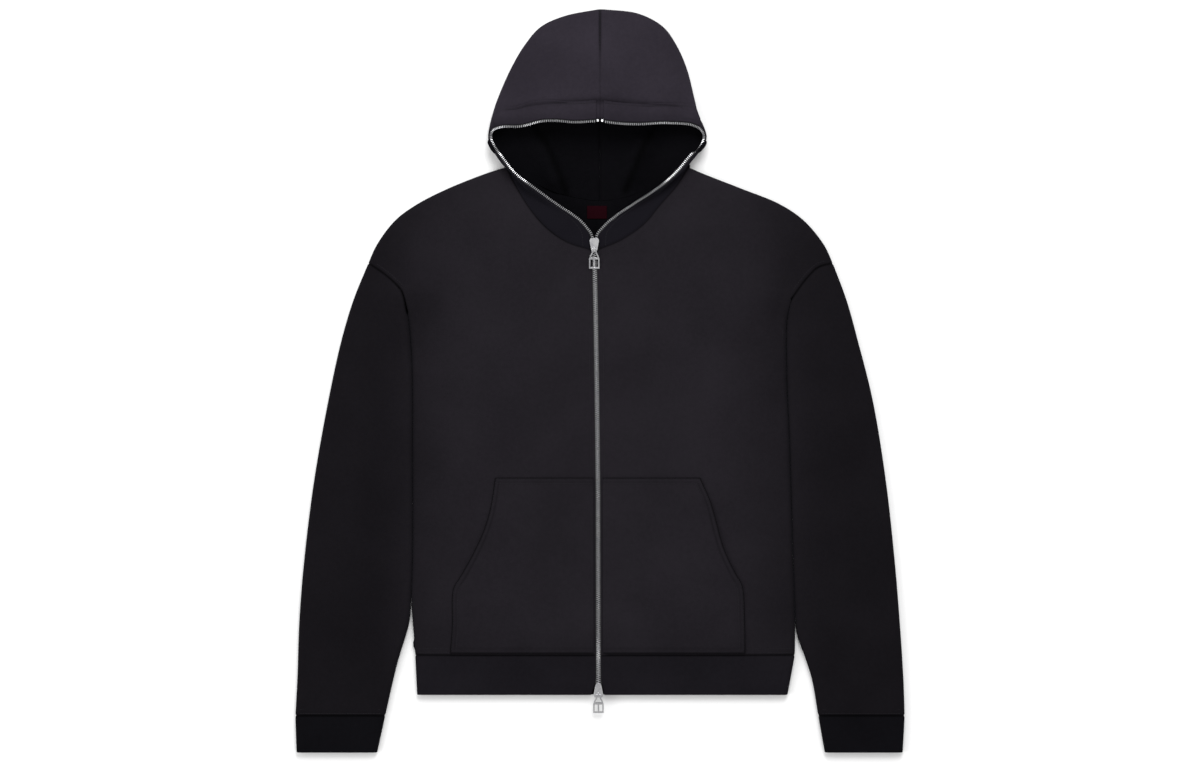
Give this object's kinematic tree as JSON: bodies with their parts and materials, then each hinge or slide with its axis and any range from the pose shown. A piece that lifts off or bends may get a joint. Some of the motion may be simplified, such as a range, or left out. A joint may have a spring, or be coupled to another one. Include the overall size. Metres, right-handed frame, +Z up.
{
  "type": "zip up hoodie",
  "caption": "Zip up hoodie laid flat: boxy body, dropped sleeves, patch pockets, and a hood whose metal zip runs on round its opening.",
  "frame": {"origin": "on the surface the garment lies on, under the middle of its outline", "axes": "+X to the picture's right, +Y from the hem to the hood, +Z up off the surface"},
  "size_m": [0.793, 0.9676, 0.0497],
  "materials": {
    "fleece_body": "matte",
    "fleece_band": "matte",
    "fleece_hood": "matte",
    "label_cloth": "matte",
    "zip_metal": "polished"
  },
  "bodies": {
    "garment": {"back": "fleece_body", "hem_band": "fleece_band", "front_left": "fleece_body", "hood_left": "fleece_hood", "hood_hem_left": "fleece_hood", "sleeve_left": "fleece_body", "cuff_left": "fleece_band", "pocket_left": "fleece_body", "zip_left": "zip_metal", "zip_stop_left": "zip_metal", "front_right": "fleece_body", "hood_right": "fleece_hood", "hood_hem_right": "fleece_hood", "sleeve_right": "fleece_body", "cuff_right": "fleece_band", "pocket_right": "fleece_body", "zip_right": "zip_metal", "zip_stop_right": "zip_metal", "neck_label": "label_cloth", "slider_top": "zip_metal", "slider_bottom": "zip_metal"},
    "pull_top": {"pull_top": "zip_metal"},
    "pull_bottom": {"pull_bottom": "zip_metal"}
  },
  "joints": [
    {"name": "pull_top_swing", "type": "hinge", "parent": "garment", "child": "pull_top", "pos_m": [-0.0074, 0.1698, 0.0295], "axis": [-1, 0, 0], "range_deg": [0, 150]},
    {"name": "pull_bottom_swing", "type": "hinge", "parent": "garment", "child": "pull_bottom", "pos_m": [-0.00202, -0.4083, 0.0173], "axis": [-1, 0, 0], "range_deg": [0, 150]}
  ]
}
